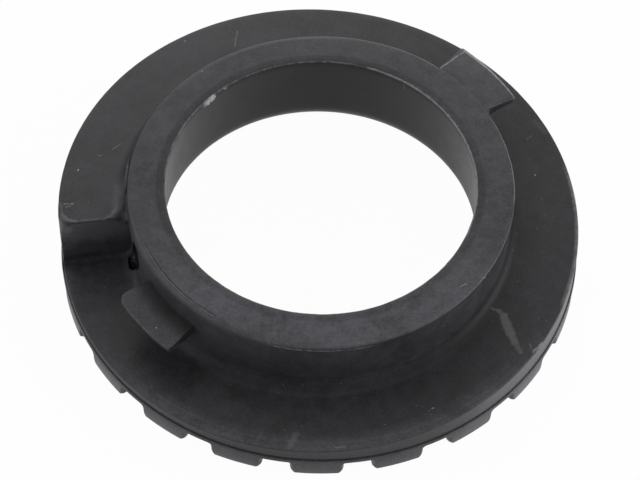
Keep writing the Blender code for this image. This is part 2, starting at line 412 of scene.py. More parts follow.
def makeLip(lip):
    s = lipSizes
    inner, outer = moulding["collar"] - s["inside"], moulding["collar"] + lip["reach"]
    arcRadius = moulding["collar"] + lip["reach"] / 2
    half = math.radians(lip["spread"] / 2) * arcRadius
    deselectAll()
    middle = ((inner + outer) / 2 * mm, 0, (lip["top"] - lip["root"] / 2) * mm)
    bpy.ops.mesh.primitive_cube_add(size=1, location=middle)
    piece = bpy.context.object
    piece.name = lip["name"]
    piece.scale = ((outer - inner) * mm, 2 * half * mm, lip["root"] * mm)
    bpy.ops.object.transform_apply(location=True, rotation=True, scale=True)
    bpy.ops.object.mode_set(mode="EDIT")
    for side, size in zip((1, -1), lip["corners"]):
        pick(piece, lambda p: p[0] > outer - 0.01 and p[1] * side > half - 0.01, "EDGE")
        bpy.ops.mesh.bevel(offset=size * mm, segments=7, affect="EDGES")
    free = lambda p: p[0] > inner + 0.01
    pick(piece, lambda p: p[2] > lip["top"] - 0.01 and free(p), "EDGE")
    bpy.ops.mesh.bevel(offset=s["topEdge"] * mm, segments=3, affect="EDGES")
    pick(piece, lambda p: p[2] < lip["top"] - lip["root"] + 0.01 and free(p), "EDGE")
    bpy.ops.mesh.bevel(offset=s["footEdge"] * mm, segments=3, affect="EDGES")
    cove = max(s["rootFoot"], *lip["rootEnds"])
    cuts = []
    for k in range(s["rootCuts"]):  # closer together near the collar
        reach = cove * (k / s["rootCuts"]) ** 1.5
        cuts.append(((moulding["collar"] + 0.05 + reach, 0, 0), (1, 0, 0)))
    for k in range(1, s["bendCuts"]):
        cuts.append(((0, half * (2 * k / s["bendCuts"] - 1), 0), (0, 1, 0)))
    for place, normal in cuts:
        bpy.ops.mesh.select_all(action="SELECT")
        bpy.ops.mesh.bisect(plane_co=[c * mm for c in place], plane_no=normal)
    bpy.ops.object.mode_set(mode="OBJECT")
    for vert in piece.data.vertices:
        x, y, z = vert.co / mm
        reach = x - moulding["collar"]
        out = min(1, max(0, reach / lip["reach"]))
        share = (lip["top"] - z) / lip["root"]
        z = lip["top"] - share * (lip["root"] + (lip["tip"] - lip["root"]) * out)
        z += lip["tilt"] * y / half / 2
        z -= share * coveRise(max(0, reach), s["rootFoot"])
        end = lip["rootEnds"][0 if y > 0 else 1]
        if end:
            y += math.copysign(coveRise(max(0, reach), end), y) * smooth(abs(y) / half * 4 - 3)
        hooked = smooth((-y / half - s["hookFrom"]) / (1 - s["hookFrom"]))
        z -= lip["hook"] * hooked * smooth(out * 3 - 2)
        z += moulding["waviness"] * noise.noise(Vector((x, y, z)) / 2)
        x += lip["skew"] * out * y / half
        vert.co = polar(x, lip["azimuth"] + math.degrees(y / arcRadius), min(z, moulding["height"]))
    return piece


# Notches under the rim, which leave the pads standing
notches = {
    "count": 21,
    "firstAzimuth": -89.3 + 180 / 21,
    "width": 7.6,
    "depth": 11.5,
    "top": 6.0,
    "topRound": 1.2,
    "flare": 2.6,
    "mouthRound": 1.6,  # of the pads' upright corners
    "mouthCuts": 7,
    "below": 3.0,
    "past": 3.0,
}


def makeNotchCutters():  # the notch's outline made a bar, then set round the rim
    n = notches
    half, foot = n["width"] / 2, -0.05
    wide = half + n["flare"] * 1.5
    inner = moulding["pad"] - n["depth"]
    flare = (n["flare"], 5)
    crown = (n["topRound"], 4)
    corners = [(-half, n["top"], *crown), (half, n["top"], *crown), (half, foot, *flare), (wide, foot)]
    corners += [(wide, -n["below"]), (-wide, -n["below"]), (-wide, foot), (-half, foot, *flare)]
    bar = drawOutline("notch", corners, lambda y, z: Vector((inner, y, z)))
    bpy.ops.mesh.select_all(action="SELECT")
    length = (n["depth"] + n["past"]) * mm
    bpy.ops.mesh.extrude_region_move(TRANSFORM_OT_translate={"value": (length, 0, 0)})
    for i in range(n["mouthCuts"] + 1):
        reach = moulding["pad"] - n["mouthRound"] * (i / n["mouthCuts"]) ** 2
        bpy.ops.mesh.select_all(action="SELECT")
        bpy.ops.mesh.bisect(plane_co=(reach * mm, 0, 0), plane_no=(1, 0, 0))
    bpy.ops.mesh.select_all(action="SELECT")
    bpy.ops.mesh.normals_make_consistent(inside=False)
    bpy.ops.object.mode_set(mode="OBJECT")
    for vert in bar.data.vertices:
        widen = coveRise(max(0, moulding["pad"] - vert.co.x / mm), n["mouthRound"])
        vert.co.y += math.copysign(widen, vert.co.y) * mm
    bars = [bar]
    for i in range(1, n["count"]):
        copy = bpy.data.objects.new("notch", bar.data.copy())
        bpy.context.scene.collection.objects.link(copy)
        bars.append(copy)
    deselectAll()
    for i, one in enumerate(bars):
        one.rotation_euler.z = math.radians(n["firstAzimuth"] + 360 / n["count"] * i)
        one.select_set(True)
    bpy.context.view_layer.objects.active = bar
    bpy.ops.object.transform_apply(location=True, rotation=True, scale=True)
    bpy.ops.object.join()
    return bar


# The torn hollow beside the step, and rags of flash on the collar's edges: radius, azimuth and height of
# each, its half sizes, and how it leans and turns in degrees (millimetres)
hollows = [
    {
        "name": "pocket",
        "place": (55.5, 195.0, 10.2),
        "size": (1.8, 2.9, 2.9),
        "turn": (0, 8),
        "ragged": 0.16,
    },
    {
        "name": "cleft",
        "place": (55.1, 198.6, 18.0),
        "size": (2.4, 3.6, 8.4),
        "turn": (-20, 0),
        "ragged": 0.12,
    },
]
rags = [
    {
        "name": "ragOne",
        "place": (43.95, 138.0, 31.3),
        "size": (0.5, 1.5, 0.9),
        "turn": (0, 4),
        "ragged": 0.45,
    },
    {
        "name": "ragTwo",
        "place": (43.9, 140.6, 31.1),
        "size": (0.45, 1.2, 0.9),
        "turn": (0, -6),
        "ragged": 0.45,
    },
    {
        "name": "knot",
        "place": (43.95, 131.0, 31.5),
        "size": (0.4, 0.7, 0.4),
        "turn": (0, 0),
        "ragged": 0.3,
    },
    {
        "name": "fin",
        "place": (55.1, 178.6, 30.3),
        "size": (0.55, 6.6, 0.8),
        "turn": (0, 1),
        "ragged": 0.12,
    },
]


def makeBlob(blob):
    radius, azimuth, level = blob["place"]
    deselectAll()
    bpy.ops.mesh.primitive_ico_sphere_add(subdivisions=5, radius=mm)
    piece = bpy.context.object
    piece.name = blob["name"]
    for vert in piece.data.vertices:
        way = vert.co / mm
        rough = noise.noise(way * 1.7 + Vector((azimuth, 0, 0))) + 0.5 * noise.noise(way * 5)
        vert.co *= 1 + blob["ragged"] * rough
    lean, turn = blob["turn"]
    piece.scale = blob["size"]
    piece.rotation_euler = (math.radians(lean), 0, math.radians(azimuth + turn))
    piece.location = polar(radius, azimuth, level)
    bpy.ops.object.transform_apply(location=True, rotation=True, scale=True)
    for vert in piece.data.vertices:
        vert.co.z = min(vert.co.z, (moulding["height"] - 0.02) * mm)
    return piece


def combine(body, tools, operation):
    for tool in tools:
        step = body.modifiers.new(tool.name, "BOOLEAN")
        step.operation = operation
        step.solver = "EXACT"
        step.object = tool
    applyModifiers(body)
    for tool in tools:
        bpy.data.objects.remove(tool, do_unlink=True)


def keepLargest(piece):  # crumbs that a cut has left loose are deleted
    editMode(piece)
    bpy.ops.mesh.select_all(action="SELECT")
    bpy.ops.mesh.separate(type="LOOSE")
    bpy.ops.object.mode_set(mode="OBJECT")
    parts = sorted(bpy.context.selected_objects, key=lambda part: len(part.data.polygons))
    name = piece.name
    for crumb in parts[:-1]:
        bpy.data.objects.remove(crumb, do_unlink=True)
    parts[-1].name = name
    return parts[-1]


# Camera at the photograph's angle, distance and roll (millimetres, radians)
camera = {
    "distance": 520.0,
    "elevation": 0.97485,
    "pitchOff": -0.00282,
    "yawOff": 0.00041,
    "roll": 0.02596,
    "focal": 1743.8 / 640 * 36,
}


def setCamera():
    c = camera
    eye = Vector((0, -math.cos(c["elevation"]), math.sin(c["elevation"]))) * c["distance"] * mm
    pitch = c["elevation"] + c["pitchOff"]
    ahead = Vector((0, math.cos(pitch), -math.sin(pitch)))
    right = Vector((1, 0, 0))
    up = right.cross(ahead)
    ahead, right = (
        ahead * math.cos(c["yawOff"]) + right * math.sin(c["yawOff"]),
        right * math.cos(c["yawOff"]) - ahead * math.sin(c["yawOff"]),
    )
    right, up = (
        right * math.cos(c["roll"]) + up * math.sin(c["roll"]),
        up * math.cos(c["roll"]) - right * math.sin(c["roll"]),
    )
    view = bpy.data.cameras.new("photoCamera")
    view.lens = c["focal"]
    view.sensor_width = 36
    holder = bpy.data.objects.new("photoCamera", view)
    bpy.context.scene.collection.objects.link(holder)
    turn = Matrix((right, up, -ahead)).transposed().to_4x4()
    holder.matrix_world = Matrix.Translation(eye) @ turn
    bpy.context.scene.camera = holder


# Node helpers: a node with its inputs filled from numbers, colours or other nodes' outputs
def makeNode(tree, kind, inputs=None, **settings):
    node = tree.nodes.new("ShaderNode" + kind)
    for name, value in settings.items():
        setattr(node, name, value)
    for name, value in (inputs or {}).items():
        if isinstance(value, bpy.types.NodeSocket):
            tree.links.new(value, node.inputs[name])
        else:
            node.inputs[name].default_value = value
    return node


def doMath(tree, operation, *values, clamp=False):
    return makeNode(tree, "Math", dict(enumerate(values)), operation=operation, use_clamp=clamp).outputs[0]


def doVector(tree, operation, *values, output=0):
    return makeNode(tree, "VectorMath", dict(enumerate(values)), operation=operation).outputs[output]


def fade(tree, value, low, high, most=1.0):  # 0 at low and most at high, smooth between
    inputs = {"Value": value, "From Min": low, "From Max": high, "To Max": most}
    return makeNode(tree, "MapRange", inputs, interpolation_type="SMOOTHSTEP").outputs["Result"]


def grain(tree, place, name):
    scale, detail, roughness = grains[name]
    inputs = {"Vector": place, "Scale": scale, "Detail": detail, "Roughness": roughness}
    return makeNode(tree, "TexNoise", inputs).outputs[0]


def tint(tree, share, first, second):
    mix = makeNode(tree, "Mix", {0: share, 6: first, 7: second}, data_type="RGBA")
    return mix.outputs[2]


def product(tree, *values):
    total = values[0]
    for value in values[1:]:
        total = doMath(tree, "MULTIPLY", total, value)
    return total


def highest(tree, rows, makeMask):  # the running highest of one mask for each row
    total = 0.0
    for row in rows:
        total = doMath(tree, "MAXIMUM", total, makeMask(row))
    return total


# Studio: a pale floor and plain soft lamps around the moulding (metres, degrees, watts)
studio = {
    "floorColour": (0.9, 0.9, 0.9, 1),
    "floorGlow": 0.97,
    "ambient": 0.2,
    "lampDistance": 1.2,
    "lampSize": 0.7,
    "floorSize": 6,
    "lamps": [
        {"name": "back", "azimuth": 90, "elevation": 30, "power": 4.4},
        {"name": "backLeft", "azimuth": 135, "elevation": 45, "power": 1.5},
        {"name": "backRight", "azimuth": 45, "elevation": 45, "power": 0.7},
        {"name": "left", "azimuth": 180, "elevation": 25, "power": 3.8},
        {"name": "right", "azimuth": 0, "elevation": 20, "power": 10.6},
        {"name": "frontLeft", "azimuth": -135, "elevation": 15, "power": 1.9},
        {"name": "frontRight", "azimuth": -45, "elevation": 15, "power": 1.0},
    ],
}


def makeFloor():
    s = studio
    deselectAll()
    bpy.ops.mesh.primitive_plane_add(size=s["floorSize"], location=(0, 0, 0))
    floor = bpy.context.object
    floor.name = "paleFloor"
    paint = bpy.data.materials.new("paleFloor")
    paint.use_nodes = True
    tree = paint.node_tree
    tree.nodes.clear()
    rays = makeNode(tree, "LightPath").outputs
    mirrored = doMath(tree, "MAXIMUM", rays["Is Glossy Ray"], rays["Is Transmission Ray"])
    seen = doMath(tree, "MULTIPLY", rays["Is Camera Ray"], s["floorGlow"])
    matte = makeNode(tree, "BsdfDiffuse", {"Color": s["floorColour"]}).outputs[0]
    glow = makeNode(tree, "Emission", {"Color": (1, 1, 1, 1), "Strength": 1.0}).outputs[0]
    white = doMath(tree, "MAXIMUM", mirrored, seen)
    mix = makeNode(tree, "MixShader", {0: white, 1: matte, 2: glow}).outputs[0]
    makeNode(tree, "OutputMaterial", {"Surface": mix})
    floor.data.materials.append(paint)


def makeSky():  # white where it is seen or mirrored, faint where it lights
    world = bpy.data.worlds.new("studio")
    world.use_nodes = True
    bpy.context.scene.world = world
    tree = world.node_tree
    rays = makeNode(tree, "LightPath").outputs
    mirrored = doMath(tree, "MAXIMUM", rays["Is Glossy Ray"], rays["Is Transmission Ray"])
    white = doMath(tree, "MAXIMUM", mirrored, rays["Is Camera Ray"])
    back = tree.nodes["Background"]
    back.inputs["Color"].default_value = (1, 1, 1, 1)
    strength = doMath(tree, "ADD", fade(tree, white, 0, 1, 1 - studio["ambient"]), studio["ambient"])
    tree.links.new(strength, back.inputs["Strength"])


def setStudio():
    s = studio
    makeFloor()
    makeSky()
    for lamp in s["lamps"]:
        light = bpy.data.lights.new(lamp["name"], "AREA")
        light.size = s["lampSize"]
        light.energy = lamp["power"]
        holder = bpy.data.objects.new(lamp["name"], light)
        turn, rise = math.radians(lamp["azimuth"]), math.radians(lamp["elevation"])
        way = Vector((math.cos(turn) * math.cos(rise), math.sin(turn) * math.cos(rise), math.sin(rise)))
        holder.location = way * s["lampDistance"]
        holder.rotation_euler = (-way).to_track_quat("-Z", "Y").to_euler()
        bpy.context.scene.collection.objects.link(holder)
    bpy.context.scene.view_settings.view_transform = "Standard"


# Black rubber: dark moulded skin, grey bloom on what faces up, pale flash lines, worn edges and scuffs; some
# regions get painted light and painted shade, and many pale lines carry painted highlights
rubber = {
    "skin": (0.0125, 0.0125, 0.0135, 1),
    "bloomAndLight": (0.077, 0.077, 0.087, 1),
    "wornAndHighlit": (0.30, 0.30, 0.305, 1),
    "scuffAndHighlightTone": (0.42, 0.42, 0.42, 1),
    "darkest": (0.006, 0.006, 0.0065, 1),
    "roughness": 0.40,
    "roughMiddle": 0.16,
    "roughFine": 0.05,
    "roughWorn": 0.25,
    "specular": 0.22,
    "leastSpecular": 0.02,
    "boreDull": 0.055,
    "creaseDull": 0.13,
    "bumpHeight": 0.05 * mm,
    "bumpStrength": 0.5,
    "bumpSkin": 0.7,
    "bumpFine": 0.6,
    "bumpRings": 0.5,
    "wobble": 0.5,  # how far the pale and dark lines stray, in millimetres
    "shake": 0.9,  # how far the edges of the scuffs and of the painted highlights among them stray, in millimetres
    "shakeScale": 0.8,
    "shakeDetail": 3.0,
    "spunStretch": 6.0,
    "rimHighlightLine": -0.35,  # height of the rim's painted highlight line, measured from the shelf
    "lineCore": 0.35,  # share of a line's width that has its full strength
    "lineEnds": 4,  # degrees over which a line's ends fade
    "streakCore": 0.45,
    "bandSwing": (1.6, 0.2),
    "cloudSwing": 1.3,
    "cloudShare": (0.8, 0.12),
    "speckleShare": (1.6, 0.12),
    "specks": (0.56, 0.70),
    "dotScale": 0.33,
    "dots": (0.055, 0.03, 0.5),
    "gaps": (0.36, 0.58),
    "streakGaps": (0.2, 0.42),
}

# Noises in the rubber: scale per millimetre, detail, roughness
grains = {
    "coarse": (0.045, 3.0, 0.55),
    "middle": (0.25, 4.0, 0.6),
    "fine": (1.3, 4.0, 0.65),
    "skin": (2.4, 3.0, 0.6),
    "specks": (1.9, 2.0, 0.6),
    "gaps": (0.55, 3.0, 0.7),
    "wobble": (0.9, 3.0, 0.5),
    "bands": (1.1, 2.0, 0.5),
    "rings": (1.6, 2.0, 0.5),
}

# Noises that make the clouds in the bloom: from, to, share
clouds = {
    "coarse": (0.38, 0.62, 0.3),
    "middle": (0.36, 0.64, 0.35),
    "fine": (0.36, 0.64, 0.35),
}

# Regions of the moulding that differ in finish, and regions that get painted light and painted shade. Each
# limit says what is measured, its value where the region ends and its value where the region is full. "above"
# is the height above the shelf
# region ends and its value where the region is full. "above" is the height above the shelf
collarTop = (("height", 30.4, 31.6), ("facing", 0.3, 0.95))
lowerLip = (("height", 21.5, 22.3), ("height", 27.0, 25.5), ("above", 6.5, 8.0))
cove = (("radius", 55.01, 55.3), ("radius", 59.5, 56.5), ("above", 4.6, 2.6), ("above", -0.5, -0.1))
pastBore = (("radius", 50.0, 51.0), ("height", 6.0, 7.0))
regions = {
    "collarTop": collarTop,
    "collarTopRight": (*collarTop, ("cosine", 0.2, 0.9)),
    "collarTopFront": (*collarTop, ("sine", -0.3, -1.0)),
    "collarWall": (("radius", 54.4, 54.8), ("radius", 55.9, 55.5), ("height", 31.0, 29.5)),
    # painted light: what faces up on the left side is made lighter
    "leftSidePaintedLight": (("facing", 0.3, 0.95), ("cosine", 0.3, -0.8)),
    "bore": (("radius", 46.9, 46.4),),
    "cove": cove,
    # painted shade: on the right, the collar's fillet and the shelf beside it lose bloom, most near the
    # collar
    "rightCove": (*cove, ("cosine", 0.2, 0.9)),
    "besideCove": (("radius", 66.0, 57.5), ("cosine", 0.1, 0.6), ("above", 2.0, 1.0), ("sine", -0.35, 0.1)),
    "lowerLipTip": (*lowerLip, ("facing", 0.3, 0.95), ("radius", 57.5, 61.5)),
    # painted shade: the lower lip loses bloom towards its root, where the collar shades it
    "lowerLipRoot": (*lowerLip, ("facing", 0.3, 0.9), ("radius", 61.0, 56.5)),
    "lowRim": (("radius", 74.6, 75.4), ("height", 9.0, 7.0)),
    # painted light: the rim's side on the right, lit by the lamp there, is made lighter with specks
    "rightRimPaintedLight": (("radius", 73.6, 74.4), ("facing", 0.7, 0.2), ("cosine", 0.4, 0.8)),
    # painted reflection: the front of the shelf near the rim is made lighter, in streaky bands
    "frontRimSheen": (("radius", 69.0, 74.0), ("sine", -0.35, -0.9), ("facing", 0.3, 0.95)),
    # painted light and shade: the step's wall is made lighter towards its top and left dark down in the
    # corner
    "stepWallPaintedLight": (
        ("turn", 0.025, 0.006),
        ("height", 14.0, 26.0),
        ("facing", 0.8, 0.4),
        ("radius", 55.5, 56.5),
    ),
    # painted shade: the foot of the step's wall, down in the corner, loses bloom
    "stepFoot": (("turn", 0.013, 0.003), ("above", 4.0, 1.0), ("radius", 55.0, 56.0)),
    "shelfByStep": (("turn", 0.09, 0.0), ("height", 28.0, 20.0), ("radius", 55.2, 56.0)),
    # painted light: the collar's wall beside the step, which lies in shade, is made lighter
    "collarByStepPaintedLight": (
        ("turn", 0.025, 0.006),
        ("height", 14.0, 24.0),
        ("height", 27.0, 25.5),
        ("radius", 56.0, 55.5),
        ("radius", 54.4, 54.8),
    ),
    # painted light: the gutter falling from the step's top towards the collar is made lighter where it lies
    # in shade
    "gutter": (("turn", 0.955, 0.98), ("radius", 60.0, 58.0), ("radius", 55.5, 56.9), ("height", 27.0, 26.2)),
    # painted shade: the pocket and the cleft beside the step are made darker
    "hollowInWall": (*pastBore, ("radius", 54.9, 54.6), ("height", 30.0, 29.0)),
    "hollowInFloor": (*pastBore, ("above", -0.1, -0.4), ("height", 12.0, 11.0), ("radius", 60.0, 59.0)),
}

# How much of the grey bloom tone each region adds to what lies everywhere: 0 is bare skin and 1 is full
# bloom. On the left side, the step's wall, the collar beside the step, the gutter and the right rim it is
# painted light, and on the front of the shelf near the rim a painted reflection
bloomEverywhere = 0.13
evenBloomAndLight = {
    "collarTop": 0.15,
    "collarTopRight": 0.15,
    "collarTopFront": 0.42,
    "collarWall": 0.10,
    "leftSidePaintedLight": 0.075,
    "bore": -0.10,
    "stepWallPaintedLight": 1.25,
    "shelfByStep": 0.26,
    "collarByStepPaintedLight": 0.6,
    "gutter": 0.55,
}
bandedSheen = {"frontRimSheen": 0.5}
speckledBloomAndLight = {"lowerLipTip": 0.30, "lowRim": 0.38, "rightRimPaintedLight": 0.9}
# Shares of the bloom that are taken away as painted shade, of the gloss that is lost, and of painted shade in
# the hollows
paintedShadeShares = {"lowerLipRoot": 0.5, "besideCove": 0.55, "stepFoot": 0.15, "rightCove": 0.7}
dulled = {"cove": 1.1, "stepFoot": 1.45, "lowerLipRoot": 0.4, "hollowInWall": 1.0, "hollowInFloor": 1.0}
hollowShade = {"hollowInWall": 0.5, "hollowInFloor": 0.5}

# Pale or dark lines round the moulding: radius and height ("shelf" climbs with the rim), width,
# strength, the azimuth it is centred on, how far it reaches each way, and how much of it is broken away
# the pale lines are flash and worn edges, with painted highlights on them
flashAndHighlightLines = [
    {"at": (44.15, 31.95), "width": 0.5, "strength": 0.75, "centre": 25, "reach": 50, "broken": 0.3},
    {"at": (44.15, 31.95), "width": 0.4, "strength": 0.35, "centre": 125, "reach": 55, "broken": 0.7},
    {"at": (44.2, 31.95), "width": 0.3, "strength": 0.2, "centre": -110, "reach": 80, "broken": 1.0},
    {"at": (44.9, 32.0), "width": 0.22, "strength": 0.2, "centre": 42, "reach": 16, "broken": 1.0},
    {"at": (54.9, 31.85), "width": 0.36, "strength": 0.32, "centre": 115, "reach": 64, "broken": 0.5},
    {"at": (54.9, 31.85), "width": 0.36, "strength": 0.36, "centre": 11, "reach": 18, "broken": 0.4},
    {"at": (54.9, 31.85), "width": 0.45, "strength": 0.6, "centre": 62, "reach": 12, "broken": 0.2},
    {"at": (53.35, 31.95), "width": 0.28, "strength": 0.25, "centre": -138, "reach": 19, "broken": 0.6},
    {"at": (55.0, 30.75), "width": 0.3, "strength": 0.4, "centre": -88, "reach": 17, "broken": 1.0},
    {"at": (54.2, 31.5), "width": 1.0, "strength": 0.07, "centre": -60, "reach": 50, "broken": 1.0},
    {"at": (65.25, 31.9), "width": 0.75, "strength": 0.95, "centre": 40.2, "reach": 11.6, "broken": 0.15},
    {"at": (65.0, 22.9), "width": 0.5, "strength": 0.15, "centre": -138, "reach": 11, "broken": 1.0},
    {"at": (74.6, "shelf"), "width": 1.0, "strength": 0.38, "centre": -4, "reach": 20, "broken": 0.5},
]
# painted shade: the long dark line lies in the groove above the pads; the short one runs beside a pale line
# on the collar's top
darkLines = [
    {"at": (53.1, 31.95), "width": 0.28, "strength": 0.8, "centre": -138, "reach": 19},
    {"at": (75.5, 7.45), "width": 0.5, "strength": 0.85, "centre": -90, "reach": 180},
]

# Scuffs and scratches, and painted highlights along the step's top edge and the upper lip's edges: width,
# strength, and both ends as radius, azimuth and height (None on the shelf)
scuffsAndHighlights = [
    {"from": (56.5, -31.9, 15.0), "to": (59.5, -31.2, None), "width": 0.5, "strength": 0.11},
    {"from": (59.5, -31.2, None), "to": (61.6, -31.9, None), "width": 0.9, "strength": 0.17},
    {"from": (61.6, -31.9, None), "to": (63.6, -33.5, None), "width": 1.5, "strength": 0.2},
    {"from": (63.6, -33.5, None), "to": (66.2, -35.3, None), "width": 1.75, "strength": 0.2},
    {"from": (66.2, -35.3, None), "to": (68.7, -36.7, None), "width": 1.35, "strength": 0.17},
    {"from": (68.7, -36.7, None), "to": (71.8, -37.9, None), "width": 0.9, "strength": 0.11},
    {"from": (69.4, 112.8, None), "to": (63.9, 115.4, None), "width": 0.16, "strength": 0.35},
    {"from": (70.4, 174.4, None), "to": (70.5, 174.6, None), "width": 0.28, "strength": 0.9},
    {"from": (73.0, -175.6, None), "to": (70.5, -175.4, None), "width": 0.22, "strength": 0.6},
    {"from": (72.4, -174.6, None), "to": (71.2, -175.0, None), "width": 0.18, "strength": 0.4},
    {"from": (67.0, 169.1, None), "to": (65.2, 168.9, None), "width": 0.14, "strength": 0.3},
    {"from": (62.7, 166.1, None), "to": (61.1, 163.7, None), "width": 0.2, "strength": 0.25},
    {"from": (67.5, 24.6, None), "to": (69.2, 25.0, None), "width": 0.3, "strength": 0.14},
    {"from": (72.6, 28.6, None), "to": (74.0, 24.8, None), "width": 1.0, "strength": 0.04},
    {"from": (64.9, 13.5, None), "to": (65.0, 13.7, None), "width": 0.22, "strength": 0.55},
    {"from": (74.3, -36.2, None), "to": (74.9, -33.2, None), "width": 0.45, "strength": 0.32},
    {"from": (72.4, -35.0, None), "to": (73.4, -35.8, None), "width": 0.45, "strength": 0.12},
    {"from": (49.5, -157.5, 32.0), "to": (46.0, -151.5, 32.0), "width": 2.2, "strength": 0.03},
    {"from": (74.1, -95.2, None), "to": (70.1, -94.0, None), "width": 1.1, "strength": 0.08},
    {"from": (74.1, -83.5, None), "to": (74.1, -85.5, None), "width": 0.35, "strength": 0.16},
    {"from": (62.3, -134.8, 23.2), "to": (62.4, -134.6, 23.2), "width": 0.3, "strength": 0.7},
    {"from": (69.5, -62.5, None), "to": (69.6, -62.4, None), "width": 0.35, "strength": 0.4},
    {"from": (72.6, 126.0, None), "to": (72.6, 126.2, None), "width": 0.3, "strength": 0.5},
    {"from": (53.3, 132.4, 32.0), "to": (53.3, 132.6, 32.0), "width": 0.28, "strength": 0.6},
    {"from": (43.6, 137.0, 31.5), "to": (43.6, 141.6, 31.1), "width": 1.3, "strength": 1.0},
    {"from": (43.9, 130.7, 31.6), "to": (43.9, 131.3, 31.6), "width": 0.5, "strength": 0.5},
    {"from": (55.6, -32.7, 31.0), "to": (54.4, -35.0, 31.8), "width": 0.3, "strength": 0.35},
    {"from": (52.4, -39.4, 32.0), "to": (51.6, -41.6, 32.0), "width": 0.22, "strength": 0.4},
    {"from": (75.4, 12.0, 15.6), "to": (75.4, 16.0, 15.8), "width": 0.6, "strength": 0.3},
    {"from": (44.1, 57.5, 31.0), "to": (44.4, 57.0, 28.6), "width": 0.16, "strength": 0.35},
    # along the upper lip's edges and the fin of flash on the collar: flash with a painted highlight
    {"from": (55.3, 51.1, 31.9), "to": (65.6, 49.7, 31.9), "width": 0.33, "strength": 0.4},
    {"from": (65.2, 30.0, 31.8), "to": (65.1, 30.1, 30.3), "width": 0.4, "strength": 0.3},
    {"from": (64.6, 30.0, 31.8), "to": (57.8, 29.7, 31.8), "width": 0.35, "strength": 0.05},
    {"from": (55.5, 172.3, 31.4), "to": (56.3, 185.0, 31.2), "width": 0.4, "strength": 0.35},
    # along the step's top edge and corner: wear with a painted highlight
    {"from": (74.1, -176.0, 25.7), "to": (73.4, -172.6, 25.8), "width": 0.45, "strength": 0.1},
    {"from": (73.5, -171.6, 24.6), "to": (72.6, -170.3, 23.2), "width": 2.2, "strength": 0.12},
    {"from": (73.4, -172.6, 25.8), "to": (72.2, -171.1, 25.8), "width": 0.7, "strength": 0.16},
    {"from": (72.2, -171.1, 25.8), "to": (70.0, -170.4, 25.8), "width": 0.7, "strength": 0.16},
    {"from": (70.0, -170.4, 25.8), "to": (62.0, -170.2, 25.8), "width": 0.45, "strength": 0.09},
    {"from": (62.0, -170.2, 25.8), "to": (60.0, -170.8, 25.8), "width": 0.65, "strength": 0.11},
    {"from": (60.0, -170.8, 25.8), "to": (58.7, -172.4, 25.7), "width": 0.75, "strength": 0.12},
    {"from": (58.7, -172.4, 25.7), "to": (58.0, -175.5, 25.5), "width": 0.7, "strength": 0.06},
    {"from": (64.9, -128.4, 23.3), "to": (60.5, -127.7, 23.3), "width": 0.3, "strength": 0.05},
    {"from": (65.0, -128.0, 21.2), "to": (60.3, -127.4, 21.0), "width": 0.45, "strength": 0.14},
]


def markPlace(radius, azimuth, level):
    return polar(radius, azimuth, shelfLevel(azimuth) if level is None else level) / mm


def lineMask(tree, line, where, gaps=None):
    radius, level = line["at"]
    height = where["above"] if level == "shelf" else where["height"]
    level = rubber["rimHighlightLine"] if level == "shelf" else level
    sideways = doMath(tree, "SUBTRACT", where["radius"], radius)
    upwards = doMath(tree, "SUBTRACT", height, level)
    squares = doMath(tree, "ADD", product(tree, sideways, sideways), product(tree, upwards, upwards))
    reach = doMath(tree, "SUBTRACT", doMath(tree, "SQRT", squares), where["wobble"])
    mask = fade(tree, reach, line["width"], line["width"] * rubber["lineCore"], line["strength"])
    if gaps:
        whole = doMath(tree, "MULTIPLY_ADD", gaps, line["broken"], 1 - line["broken"])
        mask = doMath(tree, "MULTIPLY", mask, whole)
    if line["reach"] >= 180:
        return mask
    off = doMath(tree, "COSINE", doMath(tree, "SUBTRACT", where["azimuth"], math.radians(line["centre"])))
    edge = math.cos(math.radians(line["reach"]))
    soft = math.cos(math.radians(max(0, line["reach"] - rubber["lineEnds"])))
    return doMath(tree, "MULTIPLY", mask, fade(tree, off, edge, soft))


def streakMask(tree, streak, place):  # 1 close to the straight line between two places
    start, end = markPlace(*streak["from"]), markPlace(*streak["to"])
    along = end - start
    away = doVector(tree, "SUBTRACT", place, tuple(start))
    share = doVector(tree, "DOT_PRODUCT", away, tuple(along / along.length_squared), output="Value")
    share = doMath(tree, "MULTIPLY", share, 1.0, clamp=True)
    nearest = makeNode(tree, "VectorMath", {0: tuple(along), "Scale": share}, operation="SCALE")
    reach = doVector(tree, "DISTANCE", away, nearest.outputs[0], output="Value")
    return fade(tree, reach, streak["width"], streak["width"] * rubber["streakCore"], streak["strength"])


